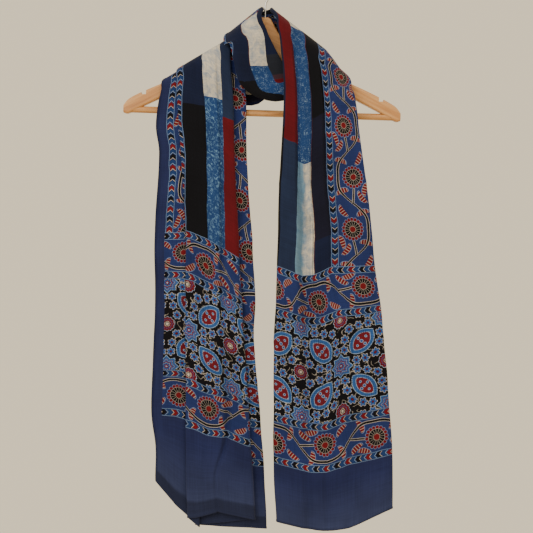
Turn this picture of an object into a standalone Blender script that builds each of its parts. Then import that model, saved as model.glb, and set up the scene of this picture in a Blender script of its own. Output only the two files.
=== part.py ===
"""A block-printed stole wrapped once round a wooden coat hanger.

The tables are in millimetres and Blender works in metres. X runs to the right, Y to the back and
Z up. The origin is inside the top of the steel hook, where the hanger hangs.
"""
import math

import bmesh
import bpy
import numpy as np
from mathutils import Matrix, Vector

MM = 0.001

# ---------------------------------------------------------------- driving sizes (mm)
CLOTH_THICKNESS = 1.0
HANGER_TILT = math.radians(1.8)      # the hanger hangs a little low on its right
ARM_THICKNESS = 12.0
ARM_EDGE_ROUND = 3.5
ROUND_STEPS = 3                      # faces round each edge of the arms
PIECE_GAP = 0.3
BAR_RADIUS = 5.2
WIRE_RADIUS = 1.7
HOOK_RADIUS = 20.0                   # to the middle of the wire
HOOK_SINK = 16.0                     # how far the wire goes into the wood

# ---------------------------------------------------------------- how the stole is folded
# The stole is 500 wide and lies in six runs, back and forth. A layout gives, for each fold line,
# its place across the flat cloth and its place across the hanging width, which starts at the roll.
# Lines: outer edge, middle of the outer strip, turn under, roll, three creases, side, two back
# turns, far edge.
EDGE, STRIP, TURN, ROLL, CREASE_1, CREASE_2, CREASE_3, SIDE, BACK_1, BACK_2, FAR = range(11)
CREASES = (CREASE_1, CREASE_2, CREASE_3)

# dip and mouth: depth and half width of the three creases. gap: space from run to run. back:
# depth of the first run behind the front.
LAYOUTS = {
    "left hem": dict(
        flat=(0, 34, 68, 85, 97, 114, 136, 192, 290, 415, 500),
        hang=(-49, -18, 19, 0, 12, 28, 48, 106, 12, 124, 42),
        dip=(0.3, 1, 2), mouth=(3, 5, 5), gap=3.0, back=9.0),
    "left end": dict(
        flat=(0, 34, 68, 86, 97, 117, 150, 186, 290, 412, 500),
        hang=(-51, -17, 17, 0, 11, 31, 61, 95, -9, 114, 26),
        dip=(0.3, 1.5, 6.5), mouth=(3, 5, 4), gap=2.5, back=9.5),
    "left field": dict(
        flat=(0, 36, 72, 95, 102, 131, 159, 191, 308, 448, 500),
        hang=(-49, -13, 23, 0, 7, 34.5, 57, 84, -33, 107, 55),
        dip=(0.3, 1.5, 6.5), mouth=(2, 4, 4), gap=2.5, back=9.5),
    "left chest": dict(
        flat=(0, 31, 63, 90, 98, 131, 159, 188, 312, 456, 500),
        hang=(-35, -4, 28, 0, 8, 40.5, 63, 84, -28, 103, 58),
        dip=(0.5, 1.5, 4.5), mouth=(3, 4, 4), gap=2.2, back=7.5),
    "left shoulder": dict(
        flat=(0, 27, 55, 84, 97, 131, 155, 190, 318, 465, 500),
        hang=(-25, 2, 29, 0, 12, 41, 64, 85, -20, 97, 62),
        dip=(0.2, 0.4, 0.8), mouth=(3, 3, 3), gap=1.8, back=5.6),
    "leg": dict(
        flat=(0, 40, 80, 150, 156, 166, 178, 205, 305, 415, 500),
        hang=(4, 32, 60, 0, 6, 20, 38, 64, 4, 60, 10),
        dip=(0.1, 0.2, 0.2), mouth=(2, 2, 2), gap=1.8, back=5.6),
    "loop low": dict(
        flat=(0, 25, 50, 115, 120, 131, 165, 200, 305, 415, 500),
        hang=(15, 38, 62, 0, 5, 15, 40, 68, 4, 62, 8),
        dip=(0.1, 0.2, 0.3), mouth=(2, 3, 3), gap=1.8, back=5.6),
    "loop": dict(
        flat=(0, 14, 28, 98, 103, 131, 165, 197, 302, 412, 500),
        hang=(40, 52, 63, 0, 5, 26, 54, 80, 6, 72, 6),
        dip=(0.1, 0.2, 0.4), mouth=(2, 3, 3), gap=1.8, back=5.6),
    "loop high": dict(
        flat=(0, 11, 22, 91, 98, 131, 160, 174, 290, 405, 500),
        hang=(42, 51, 60, 0, 6, 31, 55, 66, 2, 58, 6),
        dip=(0.1, 0.3, 0.3), mouth=(3, 3, 3), gap=1.8, back=5.6),
    "right shoulder": dict(
        flat=(0, 4, 8, 30, 99, 131, 165, 203, 313, 415, 500),
        hang=(15, 19, 22, 0, 53.5, 72, 94, 114, 5, 104, 25),
        dip=(0.3, 0.3, 0.3), mouth=(4, 3, 4), gap=1.8, back=5.6),
    "right throat": dict(
        flat=(0, 4, 8, 30, 99, 131, 165, 203, 315, 417, 500),
        hang=(15, 19, 22, 0, 53.5, 72, 94, 114, 5, 104, 25),
        dip=(5, 2.5, 5), mouth=(5, 3, 5), gap=2.0, back=8.4),
    "right chest": dict(
        flat=(0, 4, 8, 30, 98, 131, 163, 203, 325, 420, 500),
        hang=(15, 19, 22, 0, 61.5, 84.7, 104, 133, 8, 105, 28),
        dip=(5, 3, 7), mouth=(6, 4, 6), gap=2.2, back=10.5),
    "right field": dict(
        flat=(0, 4, 8, 30, 97, 131, 150, 203, 345, 430, 500),
        hang=(16, 20, 23, 0, 66.6, 92.5, 110, 151, 10, 95, 25),
        dip=(2, 1.5, 11), mouth=(6, 5, 11), gap=2.5, back=14.0),
    "right end": dict(
        flat=(0, 4, 8, 30, 97, 131, 155, 215, 345, 430, 500),
        hang=(16, 20, 23, 0, 66, 92, 115, 168, 28, 110, 40),
        dip=(1.5, 2, 12), mouth=(8, 6, 13), gap=2.5, back=15.0),
    "right hem": dict(
        flat=(0, 4, 8, 30, 97, 131, 160, 215, 345, 430, 500),
        hang=(16, 20, 23, 0, 66, 100, 128, 180, 50, 130, 60),
        dip=(2, 2, 4), mouth=(10, 8, 12), gap=3.0, back=9.0),
}

# Height of printed or hemmed lines of the two hanging ends, at each fold line.
LEFT_LINES = {
    0.0: (-804, -843, -876, -861, -861, -857, -851, -864, -874, -880, -876),
    120.75: (-695, -697, -706, -714, -717, -727, -731, -745, -762, -779, -785),
    414.25: (-424, -423, -422, -420, -422, -433, -446, -463, -478, -501, -503),
}
RIGHT_LINES = {
    1704.75: (-474, -474, -474, -473, -476, -488, -491, -474, -487, -489, -488),
    1998.25: (-757, -757, -757, -755, -770, -783, -783, -768, -780, -783, -782),
    2100.0: (-847, -848, -849, -843, -873, -878, -876, -864, -869, -872, -870),
}

# Rows of the hanging ends: distance along the cloth, layout, X of the roll and of the side, depth
# of the front.
LEFT_ROWS = (
    (0.0, "left hem", -124, -18, 25),
    (60.0, "left hem", -125, -20, 24),
    (120.75, "left end", -125.5, -24.5, 23),
    (220.0, "left end", -125.5, -30.8, 24),
    (320.0, "left end", -125.5, -37, 25),
    (414.25, "left field", -125.5, -41.5, 25),
)
RIGHT_ROWS = (
    (1704.75, "right field", 167.4, 16.5, 38),
    (1765.0, "right end", 176.5, 13.7, 37),
    (1850.0, "right end", 183.5, 11.4, 35),
    (1925.0, "right end", 190, 10.9, 34),
    (1998.25, "right hem", 194, 11, 34),
    (2050.0, "right hem", 195, 12.5, 34),
    (2100.0, "right hem", 194.5, 15, 35),
)

# The wrap, from the left chest to the right chest. Each row gives the layout, the turn in degrees
# (0 hangs in front, 90 is over the left arm, 180 behind, and so on), the places X, Z of the roll
# and of the side, their distances from the middle of the wood, and the rows up to the next one.
WRAP = (
    ("left chest", 0, (-132.7, -297), (-49.7, -300), (23.0, 23.0), 2),
    ("left chest", 0, (-137.0, -235), (-52.0, -205), (22.0, 22.0), 2),
    ("left shoulder", 0, (-139.5, -180), (-56.0, -131), (18.6, 18.6), 3),
    ("left shoulder", 90, (-127.0, -172.2), (-44.0, -123.6), (18.8, 18.7), 3),
    ("left shoulder", 180, (-114.0, -163), (-31.0, -115), (18.4, 18.4), 1),
    ("left shoulder", 180, (-60.0, -184), (-17.0, -112), (18.4, 18.4), 1),
    ("left shoulder", 180, (-8.0, -186), (-3.0, -108), (18.4, 18.4), 1),
    ("leg", 180, (42.0, -129), (12.0, -100), (18.4, 18.4), 3),
    ("leg", 270, (50.0, -132.4), (20.0, -105.4), (18.8, 18.7), 3),
    ("leg", 360, (58.0, -141), (28.0, -114), (18.4, 18.4), 1),
    ("leg", 360, (62.0, -165), (26.0, -132), (18.4, 18.4), 1),
    ("leg", 360, (56.0, -196), (34.0, -146), (19.0, 18.4), 1),
    ("loop low", 360, (18.0, -213), (36.0, -160), (21.0, 18.6), 1),
    ("loop low", 360, (-20.0, -205), (40.0, -168), (28.0, 18.8), 1),
    ("loop", 360, (-43.0, -184), (34.0, -165), (33.0, 19.2), 1),
    ("loop", 360, (-50.0, -154), (24.0, -150), (33.0, 21.0), 1),
    ("loop high", 360, (-57.0, -126), (3.5, -112), (31.5, 28.0), 1),
    ("loop high", 382, (-58.5, -136), (-1.0, -95), (30.5, 29.4), 3),
    ("loop high", 450, (-41.3, -127), (12.0, -82.5), (29.8, 29.8), 3),
    ("right shoulder", 540, (20.0, -150), (0.0, -59), (30.5, 29.4), 3),
    ("right shoulder", 630, (107.4, -178), (-10.5, -85), (18.6, 29.4), 3),
    ("right shoulder", 712, (131.0, -196), (14.0, -101), (21.0, 30.5), 1),
    ("right throat", 720, (138.0, -215), (23.0, -140), (29.0, 34.0), 1),
    ("right throat", 720, (143.0, -262), (27.0, -200), (35.0, 36.5), 1),
    ("right chest", 720, (153.9, -345), (20.5, -332), (38.0, 38.0), 2),
    ("right field", 720, (162.0, -412), (17.5, -405), (38.0, 38.0), 1),
)
LIFT_FROM, LIFT_TO = 0.05, 0.36      # where, between roll and side, the distance changes over


def clear_scene():
    for thing in list(bpy.data.objects):
        bpy.data.objects.remove(thing, do_unlink=True)


# ---------------------------------------------------------------- the folded section
def blend_layouts(first, second, share):
    """A layout part way between two others."""
    mixed = {}
    for key in first:
        a = np.asarray(first[key], float)
        b = np.asarray(second[key], float)
        mixed[key] = a + (b - a) * share
    return mixed


def straight_run(points, start, end, level, inset_start, inset_end, inner):
    """Points along one run, kept clear of the turns at its two ends."""
    (flat_0, hang_0), (flat_1, hang_1) = start, end
    way = math.copysign(1.0, hang_1 - hang_0)
    span = abs(hang_1 - hang_0)
    for step in range(inner + 2):
        share = step / (inner + 1)
        place = inset_start + (span - inset_start - inset_end) * share
        points.append((flat_0 + (flat_1 - flat_0) * place / span, hang_0 + way * place, level))


def turn(points, flat, hang, level_0, level_1, way, arc):
    """The round nose between two runs: its points between the ends of the runs."""
    radius = abs(level_1 - level_0) / 2
    middle = (level_0 + level_1) / 2
    for step in range(1, arc + 1):
        angle = math.pi * (0.5 - step / (arc + 1))
        side = math.sin(angle) * math.copysign(1.0, level_0 - level_1)
        points.append((flat, hang - way * radius * (1 - math.cos(angle)), middle + side * radius))


def folded_section(layout):
    """One crosswise section as (place on the flat cloth, place across, depth) points."""
    flat = layout["flat"]
    hang = layout["hang"]
    gap = float(layout["gap"])
    back = float(layout["back"])
    at = list(zip(flat, hang))
    points = []
    small = gap / 2
    straight_run(points, at[EDGE], at[STRIP], -2 * gap, 0, 0, 0)
    points.pop()
    straight_run(points, at[STRIP], at[TURN], -2 * gap, 0, small, 0)
    turn(points, *at[TURN], -2 * gap, -gap, 1, 1)
    straight_run(points, at[TURN], at[ROLL], -gap, small, small, 0)
    turn(points, *at[ROLL], -gap, 0, -1, 1)
    points.append((flat[ROLL] + small, hang[ROLL] + small, 0.0))
    for line, dip, mouth in zip(CREASES, layout["dip"], layout["mouth"]):
        reach = math.hypot(mouth, dip)
        points.append((flat[line] - reach, hang[line] - mouth, 0.0))
        points.append((flat[line], hang[line], -dip))
        points.append((flat[line] + reach, hang[line] + mouth, 0.0))
    wide = back / 2
    points.append((flat[SIDE] - wide, hang[SIDE] - wide, 0.0))
    turn(points, *at[SIDE], 0.0, -back, 1, 3)
    straight_run(points, at[SIDE], at[BACK_1], -back, wide, small, 1)
    turn(points, *at[BACK_1], -back, -back - gap, -1, 1)
    straight_run(points, at[BACK_1], at[BACK_2], -back - gap, small, small, 1)
    turn(points, *at[BACK_2], -back - gap, -back - 2 * gap, 1, 1)
    straight_run(points, at[BACK_2], at[FAR], -back - 2 * gap, small, 0, 1)
    return keep_in_order(points)


def keep_in_order(points):
    """Crowded points of the flat cloth are moved apart, so that none passes its neighbour."""
    ordered = [points[0]]
    for flat, hang, level in points[1:]:
        ordered.append((max(flat, ordered[-1][0] + 0.2), hang, level))
    return ordered


# ---------------------------------------------------------------- rows of the cloth
def heights(lines, along, flat_lines, flats):
    """Heights of one row of a hanging end, read between the measured lines."""
    keys = sorted(lines)
    table = [np.interp(along, keys, [lines[key][i] for key in keys]) for i in range(11)]
    return np.interp(flats, flat_lines, table)


def hanging_row(along, layout_name, roll_x, side_x, depth, lines):
    """A row of a hanging end, its layout stretched to reach from the roll to the side."""
    layout = LAYOUTS[layout_name]
    section = folded_section(layout)
    stretch = (side_x - roll_x) / layout["hang"][SIDE]
    drops = heights(lines, along, layout["flat"], [flat for flat, _, _ in section])
    return [(roll_x + stretch * hang, -(depth + level), z)
            for (_, hang, level), z in zip(section, drops)]


def smooth_step(value):
    value = min(max(value, 0.0), 1.0)
    return value * value * (3 - 2 * value)


def wrapped_row(layout, degrees, roll, side, reach):
    """A row round the hanger: the section stands on the line from roll to side."""
    turned = math.radians(degrees)
    along = np.subtract(side, roll)
    length = np.hypot(*along)
    across = along / length
    ahead = np.array((-across[1], across[0]))
    width = layout["hang"][SIDE]
    row = []
    for _, hang, level in folded_section(layout):
        share = hang / width
        lift = smooth_step((share - LIFT_FROM) / (LIFT_TO - LIFT_FROM))
        out = reach[0] + (reach[1] - reach[0]) * lift + level
        base = np.asarray(roll) + along * share
        place = base + ahead * math.sin(turned) * out
        row.append((place[0], -math.cos(turned) * out, place[1]))
    return row


def spline(before, first, second, after, share):
    """A Catmull-Rom curve from first to second."""
    before, first, second, after = (np.asarray(v, float) for v in (before, first, second, after))
    return 0.5 * (2 * first + (second - before) * share
                  + (2 * before - 5 * first + 4 * second - after) * share ** 2
                  + (3 * first - before - 3 * second + after) * share ** 3)


def wrap_rows():
    rows = []
    last = len(WRAP) - 1
    for index in range(last):
        near = [WRAP[min(max(index + offset, 0), last)] for offset in (-1, 0, 1, 2)]
        name, start, _, _, _, count = near[1]
        following, end = near[2][0], near[2][1]
        for step in range(count):
            share = step / count
            layout = blend_layouts(LAYOUTS[name], LAYOUTS[following], share)
            roll = spline(*[key[2] for key in near], share)
            side = spline(*[key[3] for key in near], share)
            reach = spline(*[key[4] for key in near], share)
            rows.append(wrapped_row(layout, start + (end - start) * share, roll, side, reach))
    final = WRAP[-1]
    rows.append(wrapped_row(LAYOUTS[final[0]], *final[1:5]))
    return rows


def cloth_rows():
    left = [hanging_row(*row, LEFT_LINES) for row in LEFT_ROWS]
    right = [hanging_row(*row, RIGHT_LINES) for row in RIGHT_ROWS]
    return np.array(left + wrap_rows() + right)


# ---------------------------------------------------------------- meshes
def material(name, colour, roughness, metallic=0.0):
    made = bpy.data.materials.new(name)
    made.use_nodes = True
    shader = made.node_tree.nodes["Principled BSDF"]
    shader.inputs["Base Color"].default_value = (*colour, 1.0)
    shader.inputs["Roughness"].default_value = roughness
    shader.inputs["Metallic"].default_value = metallic
    return made


def add_object(name, mesh, surface):
    made = bpy.data.objects.new(name, mesh)
    bpy.context.scene.collection.objects.link(made)
    mesh.materials.append(surface)
    return made


def unit(vectors):
    return vectors / np.maximum(np.linalg.norm(vectors, axis=-1, keepdims=True), 1e-9)


def directions(points, axis):
    """Direction of the grid lines at every point, the mean of the steps before and after."""
    steps = unit(np.diff(points, axis=axis))
    first = np.take(steps, [0], axis=axis)
    final = np.take(steps, [-1], axis=axis)
    before = np.concatenate((first, steps), axis=axis)
    after = np.concatenate((steps, final), axis=axis)
    return unit(before + after)


def sheet_mesh(name, middle, thickness):
    """A closed sheet with the given thickness round a grid of points."""
    outward = unit(np.cross(directions(middle, 1), directions(middle, 0)))
    rows, columns, _ = middle.shape
    faces = []
    count = rows * columns
    for row in range(rows - 1):
        for column in range(columns - 1):
            corner = row * columns + column
            quad = (corner, corner + 1, corner + columns + 1, corner + columns)
            faces.append(quad)
            faces.append(tuple(count + index for index in reversed(quad)))
    rim = [column for column in range(columns)]
    rim += [row * columns + columns - 1 for row in range(1, rows)]
    rim += [(rows - 1) * columns + column for column in range(columns - 2, -1, -1)]
    rim += [row * columns for row in range(rows - 2, 0, -1)]
    for first, second in zip(rim, rim[1:] + rim[:1]):
        faces.append((second, first, count + first, count + second))
    outer = middle + outward * thickness / 2
    inner = middle - outward * thickness / 2
    corners = np.concatenate((outer, inner)).reshape(-1, 3) * MM
    mesh = bpy.data.meshes.new(name)
    mesh.from_pydata(corners.tolist(), [], faces)
    mesh.validate()
    mesh.shade_smooth()
    return mesh


def make_cloth():
    mesh = sheet_mesh("cloth", cloth_rows(), CLOTH_THICKNESS)
    add_object("cloth", mesh, material("printed cotton", (0.02, 0.04, 0.11), 0.9))


# The arms in the hanger's own upright frame: half of the upper and of the lower outline, X and Z,
# from the middle to the tip.
ARM_TOP = ((0, -78), (9, -79.5), (22, -101), (40, -119), (80, -148), (124, -171.5), (160, -187),
           (185, -198.5), (200, -206), (211, -213), (218, -222))
ARM_BOTTOM = ((0, -133), (40, -150), (80, -171), (120, -190.5), (150, -205), (180, -219.5),
              (200, -230), (211, -235.5), (218, -234))
NOTCH_X = 187.0
NOTCH_WIDTH = 7.5
NOTCH_DEPTH = 5.0
BAR_Z = -228.5                       # middle of the bar in the same frame
BAR_END_X = 207.0


def smooth_outline(points, pieces):
    """A smooth line through the points of half an outline, as arrays of X and Z."""
    line = []
    last = len(points) - 1
    for index in range(last):
        near = [points[min(max(index + offset, 0), last)] for offset in (-1, 0, 1, 2)]
        line += [spline(*near, step / pieces) for step in range(pieces)]
    return np.array(line + [points[-1]]).T


def tilt_matrix():
    return Matrix.Rotation(HANGER_TILT, 4, "Y")


def cutter_cylinder(name, radius, depth, centre, axis):
    mesh = bpy.data.meshes.new(name)
    shape = bmesh.new()
    bmesh.ops.create_cone(shape, cap_ends=True, segments=32, radius1=radius * MM,
                          radius2=radius * MM, depth=depth * MM)
    shape.transform(Vector((0, 0, 1)).rotation_difference(Vector(axis)).to_matrix().to_4x4())
    shape.transform(tilt_matrix() @ Matrix.Translation(Vector(centre) * MM))
    shape.to_mesh(mesh)
    shape.free()
    cutter = bpy.data.objects.new(name, mesh)
    bpy.context.scene.collection.objects.link(cutter)
    cutter.hide_render = True
    cutter.display_type = "WIRE"
    return cutter


def cutter_box(name, corner_0, corner_1):
    mesh = bpy.data.meshes.new(name)
    shape = bmesh.new()
    bmesh.ops.create_cube(shape, size=1.0)
    low, high = Vector(corner_0) * MM, Vector(corner_1) * MM
    size = high - low
    shape.transform(Matrix.Diagonal((abs(size.x), abs(size.y), abs(size.z), 1)))
    shape.transform(tilt_matrix() @ Matrix.Translation((low + high) / 2))
    shape.to_mesh(mesh)
    shape.free()
    cutter = bpy.data.objects.new(name, mesh)
    bpy.context.scene.collection.objects.link(cutter)
    cutter.hide_render = True
    cutter.display_type = "WIRE"
    return cutter


def cut(target, cutter):
    modifier = target.modifiers.new(cutter.name, "BOOLEAN")
    modifier.operation = "DIFFERENCE"
    modifier.solver = "EXACT"
    modifier.object = cutter


def board_ring(half_thick, low, high, edge_round):
    """A rounded rectangle of the board's section, as (Y, Z) points."""
    ring = []
    for quarter, (y, z) in enumerate(((1, 1), (-1, 1), (-1, -1), (1, -1))):
        corner_y = y * (half_thick - edge_round)
        corner_z = high - edge_round if z > 0 else low + edge_round
        for step in range(ROUND_STEPS + 1):
            angle = math.pi / 2 * (quarter + step / ROUND_STEPS)
            ring.append((corner_y + edge_round * math.cos(angle),
                         corner_z + edge_round * math.sin(angle)))
    return ring


def make_arms():
    top_x, top_z = smooth_outline(ARM_TOP, 3)
    bottom_x, bottom_z = smooth_outline(ARM_BOTTOM, 3)
    shape = bmesh.new()
    rings = []
    for x in np.concatenate((-top_x[:0:-1], top_x)):
        low = np.interp(abs(x), bottom_x, bottom_z)
        high = np.interp(abs(x), top_x, top_z)
        ring = board_ring(ARM_THICKNESS / 2, low, high, ARM_EDGE_ROUND)
        rings.append([shape.verts.new(Vector((x, y, z)) * MM) for y, z in ring])
    sides = len(rings[0])
    for near, far in zip(rings, rings[1:]):
        for index in range(sides):
            after = (index + 1) % sides
            shape.faces.new((near[index], far[index], far[after], near[after]))
    shape.faces.new(rings[0])
    shape.faces.new(reversed(rings[-1]))
    bmesh.ops.triangulate(shape, faces=shape.faces)
    bmesh.ops.recalc_face_normals(shape, faces=shape.faces)
    shape.transform(tilt_matrix())
    mesh = bpy.data.meshes.new("hanger_arms")
    shape.to_mesh(mesh)
    shape.free()
    arms = add_object("hanger_arms", mesh, material("beech", (0.72, 0.44, 0.22), 0.45))
    for side in (-1, 1):
        low = (side * NOTCH_X - NOTCH_WIDTH / 2, -ARM_THICKNESS, -200.0 - NOTCH_DEPTH)
        high = (side * NOTCH_X + NOTCH_WIDTH / 2, ARM_THICKNESS, -150.0)
        cut(arms, cutter_box(f"notch_cutter_{side + 2}", low, high))
    bore = BAR_RADIUS + PIECE_GAP
    length = 2 * (BAR_END_X + PIECE_GAP)
    cut(arms, cutter_cylinder("bar_cutter", bore, length, (0, 0, BAR_Z), (1, 0, 0)))
    depth = HOOK_SINK + PIECE_GAP
    top_z = ARM_TOP[0][1]
    cut(arms, cutter_cylinder("wire_cutter", WIRE_RADIUS + PIECE_GAP, 2 * depth, (0, 0, top_z),
                              (0, 0, 1)))
    mesh.shade_smooth()
    mesh.set_sharp_from_angle(angle=math.radians(35))


def tube(name, points, radius, sides):
    curve = bpy.data.curves.new(name, "CURVE")
    curve.dimensions = "3D"
    curve.bevel_depth = radius * MM
    curve.bevel_resolution = sides
    curve.use_fill_caps = True
    run = curve.splines.new("POLY")
    run.points.add(len(points) - 1)
    matrix = tilt_matrix()
    for place, point in zip(run.points, points):
        place.co = (*(matrix @ (Vector(point) * MM)), 1.0)
    return curve


def make_bar():
    points = [(-BAR_END_X, 0, BAR_Z), (0, 0, BAR_Z), (BAR_END_X, 0, BAR_Z)]
    bar = tube("trouser_bar", points, BAR_RADIUS, 6)
    add_object("trouser_bar", bar, material("beech bar", (0.75, 0.46, 0.2), 0.4))


def make_hook():
    """The wire rises from the wood, swings to the right and turns over to an open end at left."""
    centre = -(HOOK_RADIUS - WIRE_RADIUS)
    foot = ARM_TOP[0][1] - HOOK_SINK
    points = [(0, 0, foot), (0, 0, -70), (0, 0, -60), (1.0, 0, -54)]
    for step in range(25):
        angle = math.radians(-62 + step * 10)
        points.append((HOOK_RADIUS * math.cos(angle), 0, centre + HOOK_RADIUS * math.sin(angle)))
    hook = tube("hook", points, WIRE_RADIUS, 3)
    add_object("hook", hook, material("steel wire", (0.6, 0.6, 0.6), 0.25, 1.0))


clear_scene()
make_arms()
make_bar()
make_hook()
make_cloth()
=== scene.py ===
"""A block-printed stole wrapped once round a wooden coat hanger.

The tables of the stole are in millimetres and the scene is in metres. X runs to the right, Y to
the back and Z up, from the inside of the hook's top.
"""
import math

import bpy
import numpy as np
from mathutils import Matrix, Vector, noise


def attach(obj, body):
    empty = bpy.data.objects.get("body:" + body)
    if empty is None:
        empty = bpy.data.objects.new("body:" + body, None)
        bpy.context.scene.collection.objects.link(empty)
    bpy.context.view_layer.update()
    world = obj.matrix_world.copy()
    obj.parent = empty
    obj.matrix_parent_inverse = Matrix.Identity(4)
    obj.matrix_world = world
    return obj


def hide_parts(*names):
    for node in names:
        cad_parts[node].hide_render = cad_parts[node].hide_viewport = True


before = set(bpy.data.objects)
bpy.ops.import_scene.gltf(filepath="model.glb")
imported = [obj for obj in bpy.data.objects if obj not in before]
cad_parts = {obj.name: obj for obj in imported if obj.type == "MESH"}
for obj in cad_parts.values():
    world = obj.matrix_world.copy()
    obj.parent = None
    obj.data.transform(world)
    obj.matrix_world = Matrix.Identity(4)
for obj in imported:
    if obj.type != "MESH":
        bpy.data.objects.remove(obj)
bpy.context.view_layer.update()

MM = 0.001


# ------------------------------------------------------------------ room, light and camera
# The stole hangs in the air in front of the viewer, at the height of a wardrobe rail. The floor
# is pale matt plaster far below it, and two broad soft lamps and a pale room light it evenly.
def linear(hex_colour, alpha=1.0):
    """A colour given as sRGB hex, turned to linear light."""
    parts = [int(hex_colour[place:place + 2], 16) / 255 for place in (1, 3, 5)]
    return (*[part / 12.92 if part <= 0.04045 else ((part + 0.055) / 1.055) ** 2.4
              for part in parts], alpha)


def add(tree, kind, *links, inputs=(), stops=(), smooth=False, **settings):
    """Adds one node, such as Math.ADD, with its settings, ramp stops and links; gives its output."""
    name, _, operation = kind.partition(".")
    node = tree.nodes.new("ShaderNode" + name)
    if operation:
        node.operation = operation
    for key, value in settings.items():
        setattr(node, key, value)
    for index, (place, tint, *alpha) in enumerate(stops):
        ramp = node.color_ramp
        ramp.interpolation = "EASE" if smooth else "CONSTANT"
        stop = ramp.elements[index] if index < 2 else ramp.elements.new(place)
        stop.position = place
        stop.color = linear(tint, *alpha)
    sockets = [socket for socket in node.inputs if socket.enabled]
    named = [(node.inputs[key], value) for key, value in dict(inputs).items()]
    for socket, value in list(zip(sockets, links)) + named:
        if isinstance(value, bpy.types.NodeSocket):
            tree.links.new(value, socket)
        elif value is not None:
            socket.default_value = value
    return next(socket for socket in node.outputs if socket.enabled)


def new_material(name):
    """A material with an empty tree and its output."""
    made = bpy.data.materials.new(name)
    made.use_nodes = True
    made.node_tree.nodes.clear()
    output = made.node_tree.nodes.new("ShaderNodeOutputMaterial")
    return made, made.node_tree, output.inputs["Surface"]


view_distance = 1.5
frame_width = 0.841
eye_height = -0.470
camera_data = bpy.data.cameras.new("camera")
camera_data.lens = camera_data.sensor_width * view_distance / frame_width
camera = bpy.data.objects.new("camera", camera_data)
camera.location = (0.0, -view_distance, eye_height)
camera.rotation_euler = (math.radians(90), 0, 0)
bpy.context.scene.collection.objects.link(camera)
bpy.context.scene.camera = camera

world = bpy.data.worlds.new("pale room")
bpy.context.scene.world = world
world.use_nodes = True
world.node_tree.nodes["Background"].inputs["Color"].default_value = linear("#F0DFBE")
world.node_tree.nodes["Background"].inputs["Strength"].default_value = 1.2

for lamp_name, place, size, watts in (
        ("window", (-1.3, -2.0, 0.6), 1.6, 26), ("ceiling", (0.9, -1.6, 1.1), 1.4, 8)):
    lamp_data = bpy.data.lights.new(lamp_name, "AREA")
    lamp_data.size = size
    lamp_data.energy = watts
    lamp_data.color = (1.0, 0.97, 0.93)
    lamp = bpy.data.objects.new(lamp_name, lamp_data)
    lamp.location = place
    aim = Vector((0, 0, eye_height)) - Vector(place)
    lamp.rotation_euler = aim.to_track_quat("-Z", "Y").to_euler()
    bpy.context.scene.collection.objects.link(lamp)

plaster, tree, surface = new_material("matt plaster")
grit = add(tree, "TexNoise", inputs={"Scale": 40.0, "Detail": 4.0})
shade = add(tree, "Mix", grit, linear("#D6CCBB"), linear("#DFD6C6"), data_type="RGBA")
floor_bump = add(tree, "Bump", inputs={"Strength": 0.1, "Height": grit})
tree.links.new(add(tree, "BsdfPrincipled", inputs={
    "Base Color": shade, "Roughness": 0.9, "Normal": floor_bump}), surface)
floor_mesh = bpy.data.meshes.new("floor")
floor_reach = 2.3
floor_height = -1.6
floor_mesh.from_pydata([(x * floor_reach, y * floor_reach, floor_height) for x, y in (
    (-1, -1), (1, -1), (1, 1), (-1, 1))], [], [(0, 1, 2, 3)])
floor_mesh.materials.append(plaster)
floor = bpy.data.objects.new("floor", floor_mesh)
bpy.context.scene.collection.objects.link(floor)


# ------------------------------------------------------------------ stole: the hung cloth
# One length of soft plain-woven cotton, 500 by 2100 mm, with a narrow rolled hem all round. It
# lies in six runs, back and forth, goes over the left arm, behind the neck, round the front and
# behind again, and hangs down in front on both sides.
STOLE_WIDTH = 500.0
STOLE_LENGTH = 2100.0
CLOTH_THICKNESS = 0.5
HEM_THICKNESS = 1.3
HEM_WIDTH = 2.6
ROW_STEP = 7.0

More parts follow.
